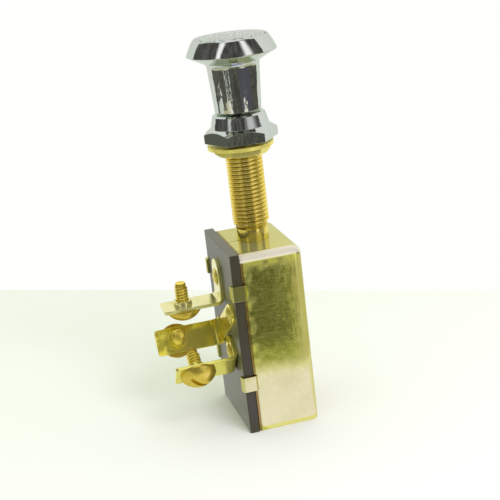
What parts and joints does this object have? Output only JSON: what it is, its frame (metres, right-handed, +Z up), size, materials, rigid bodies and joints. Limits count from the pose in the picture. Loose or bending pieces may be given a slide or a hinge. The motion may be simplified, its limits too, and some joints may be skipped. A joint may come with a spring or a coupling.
{
  "type": "push-pull switch",
  "caption": "Push-pull switch: chromed mushroom knob on a threaded panel stem, folded brass case, fibre terminal board with L-shaped screw terminals.",
  "frame": {"origin": "on the stem's axis at the underside of the case, on which the switch stands", "axes": "+Z up the stem to the knob, -X towards the terminals, -Y the case side that faces the viewer"},
  "size_m": [0.0401, 0.0294, 0.1018],
  "materials": {
    "case_brass": "polished sheet with fine scratches",
    "turned_brass": "turned",
    "terminal_brass": "stamped",
    "screw_brass": "turned",
    "chrome_plate": "polished",
    "fibre_board": "pressed fibre",
    "moulding": "moulded",
    "copper": "rolled",
    "steel": "drawn"
  },
  "bodies": {
    "body": {"case": "case_brass", "terminal_board": "fibre_board", "stem": "turned_brass", "back_nut": "turned_brass", "panel_washer": "turned_brass", "bezel_nut": "chrome_plate", "detent_spring": "steel", "terminal_top": "terminal_brass", "terminal_middle": "terminal_brass", "terminal_bottom": "terminal_brass", "terminal_screw_top": "screw_brass", "terminal_screw_middle": "screw_brass", "terminal_screw_bottom": "screw_brass", "contact_rivet_top": "screw_brass", "contact_rivet_middle": "screw_brass", "contact_rivet_bottom": "screw_brass"},
    "plunger": {"knob": "chrome_plate", "plunger_shaft": "steel", "contact_carrier": "moulding", "contact_plate": "copper", "contact_spring_lower": "steel", "contact_spring_upper": "steel", "shaft_clip": "steel"}
  },
  "joints": [
    {"name": "knob_slide", "type": "slide", "parent": "body", "child": "plunger", "axis": [0, 0, 1], "range_m": [0, 0.0125], "deforming": ["detent_spring"]}
  ]
}
